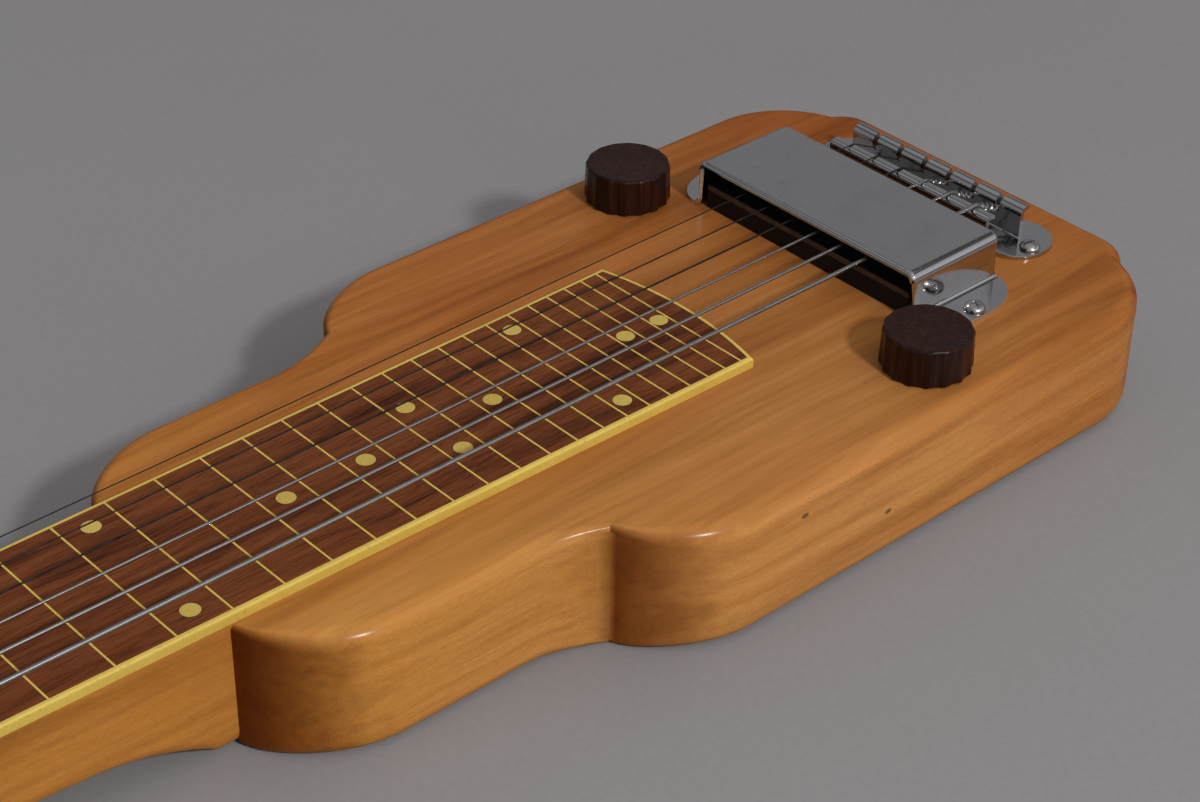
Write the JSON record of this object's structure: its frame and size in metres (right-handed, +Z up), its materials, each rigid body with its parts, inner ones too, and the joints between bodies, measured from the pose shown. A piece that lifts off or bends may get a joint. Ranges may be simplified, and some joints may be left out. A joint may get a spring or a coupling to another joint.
{
  "type": "lap steel guitar",
  "caption": "Solid-body lap steel guitar with stepped outline, inlaid fret lines, a covered pickup, fluted knobs and open geared tuners.",
  "frame": {"origin": "centre of the whole instrument's footprint, on the flat back that it lies on", "axes": "+X from the headstock to the tail, +Y to the treble side, +Z up out of the fingerboard"},
  "size_m": [0.7434, 0.173, 0.0576],
  "materials": {
    "maple": "amber gloss lacquer over straight-grained maple",
    "rosewood": "oiled, open grain",
    "celluloid": "aged cream, satin",
    "nickel": "worn nickel plate",
    "plain_string": "bright drawn wire",
    "wound_string": "fine close winding",
    "chrome": "polished, lightly spotted",
    "bakelite": "moulded, gloss black",
    "copper_wire": "enamelled fine wire",
    "steel": "plain",
    "tortoise": "dark red-brown, mottled, polished",
    "wax_paper": "waxed paper wrap",
    "ivory_plastic": "aged cream"
  },
  "bodies": {
    "base": {"body": "maple", "fingerboard": "rosewood", "binding_and_fret_lines": "celluloid", "nut": "nickel", "string_1": "plain_string", "string_2": "plain_string", "string_3": "plain_string", "string_4": "wound_string", "string_5": "wound_string", "string_6": "wound_string", "tailpiece": "chrome", "pickup_cover": "chrome", "tailpiece_screw_treble": "chrome", "pickup_cover_screw_treble": "chrome", "tailpiece_screw_bass": "chrome", "pickup_cover_screw_bass": "chrome", "pickup_housing": "bakelite", "pickup_coil": "copper_wire", "pickup_magnet_and_poles": "steel", "volume_pot": "steel", "volume_pot_nut": "nickel", "tone_pot": "steel", "tone_pot_nut": "nickel", "tone_capacitor": "wax_paper", "output_jack": "steel", "output_jack_nut": "nickel", "cavity_cover": "bakelite", "tuner_plate_treble": "nickel", "tuner_plate_bass": "nickel", "post_ferrule_1": "nickel", "post_ferrule_2": "nickel", "post_ferrule_3": "nickel", "post_ferrule_4": "nickel", "post_ferrule_5": "nickel", "post_ferrule_6": "nickel"},
    "volume_control": {"volume_knob": "tortoise", "volume_shaft": "steel"},
    "tone_control": {"tone_knob": "tortoise", "tone_shaft": "steel"},
    "tuner_key_1": {"tuner_worm_1": "steel", "tuner_button_1": "ivory_plastic"},
    "tuner_post_1": {"string_post_1": "nickel"},
    "tuner_key_2": {"tuner_worm_2": "steel", "tuner_button_2": "ivory_plastic"},
    "tuner_post_2": {"string_post_2": "nickel"},
    "tuner_key_3": {"tuner_worm_3": "steel", "tuner_button_3": "ivory_plastic"},
    "tuner_post_3": {"string_post_3": "nickel"},
    "tuner_key_4": {"tuner_worm_4": "steel", "tuner_button_4": "ivory_plastic"},
    "tuner_post_4": {"string_post_4": "nickel"},
    "tuner_key_5": {"tuner_worm_5": "steel", "tuner_button_5": "ivory_plastic"},
    "tuner_post_5": {"string_post_5": "nickel"},
    "tuner_key_6": {"tuner_worm_6": "steel", "tuner_button_6": "ivory_plastic"},
    "tuner_post_6": {"string_post_6": "nickel"}
  },
  "joints": [
    {"name": "volume_turn", "type": "hinge", "parent": "base", "child": "volume_control", "pos_m": [0.27115, -0.0655, 0.0415], "axis": [0, 0, 1], "range_deg": [-150, 150]},
    {"name": "tone_turn", "type": "hinge", "parent": "base", "child": "tone_control", "pos_m": [0.27115, 0.0655, 0.0415], "axis": [0, 0, 1], "range_deg": [-150, 150]},
    {"name": "tuner_key_1_turn", "type": "hinge", "parent": "base", "child": "tuner_key_1", "pos_m": [-0.26788, 0.024, 0.01875], "axis": [0, 1, 0], "continuous": true},
    {"name": "tuner_post_1_turn", "type": "hinge", "parent": "base", "child": "tuner_post_1", "pos_m": [-0.27575, 0.024, 0.01875], "axis": [0, 0, 1], "continuous": true},
    {"name": "tuner_key_2_turn", "type": "hinge", "parent": "base", "child": "tuner_key_2", "pos_m": [-0.30388, 0.024, 0.01875], "axis": [0, 1, 0], "continuous": true},
    {"name": "tuner_post_2_turn", "type": "hinge", "parent": "base", "child": "tuner_post_2", "pos_m": [-0.31175, 0.024, 0.01875], "axis": [0, 0, 1], "continuous": true},
    {"name": "tuner_key_3_turn", "type": "hinge", "parent": "base", "child": "tuner_key_3", "pos_m": [-0.33988, 0.024, 0.01875], "axis": [0, 1, 0], "continuous": true},
    {"name": "tuner_post_3_turn", "type": "hinge", "parent": "base", "child": "tuner_post_3", "pos_m": [-0.34775, 0.024, 0.01875], "axis": [0, 0, 1], "continuous": true},
    {"name": "tuner_key_4_turn", "type": "hinge", "parent": "base", "child": "tuner_key_4", "pos_m": [-0.33988, -0.024, 0.01875], "axis": [0, 1, 0], "continuous": true},
    {"name": "tuner_post_4_turn", "type": "hinge", "parent": "base", "child": "tuner_post_4", "pos_m": [-0.34775, -0.024, 0.01875], "axis": [0, 0, 1], "continuous": true},
    {"name": "tuner_key_5_turn", "type": "hinge", "parent": "base", "child": "tuner_key_5", "pos_m": [-0.30388, -0.024, 0.01875], "axis": [0, 1, 0], "continuous": true},
    {"name": "tuner_post_5_turn", "type": "hinge", "parent": "base", "child": "tuner_post_5", "pos_m": [-0.31175, -0.024, 0.01875], "axis": [0, 0, 1], "continuous": true},
    {"name": "tuner_key_6_turn", "type": "hinge", "parent": "base", "child": "tuner_key_6", "pos_m": [-0.26788, -0.024, 0.01875], "axis": [0, 1, 0], "continuous": true},
    {"name": "tuner_post_6_turn", "type": "hinge", "parent": "base", "child": "tuner_post_6", "pos_m": [-0.27575, -0.024, 0.01875], "axis": [0, 0, 1], "continuous": true}
  ],
  "couplings": [
    {"joint": "tuner_post_1_turn", "follows": "tuner_key_1_turn", "ratio": -0.071429},
    {"joint": "tuner_post_2_turn", "follows": "tuner_key_2_turn", "ratio": -0.071429},
    {"joint": "tuner_post_3_turn", "follows": "tuner_key_3_turn", "ratio": -0.071429},
    {"joint": "tuner_post_4_turn", "follows": "tuner_key_4_turn", "ratio": -0.071429},
    {"joint": "tuner_post_5_turn", "follows": "tuner_key_5_turn", "ratio": -0.071429},
    {"joint": "tuner_post_6_turn", "follows": "tuner_key_6_turn", "ratio": -0.071429}
  ]
}
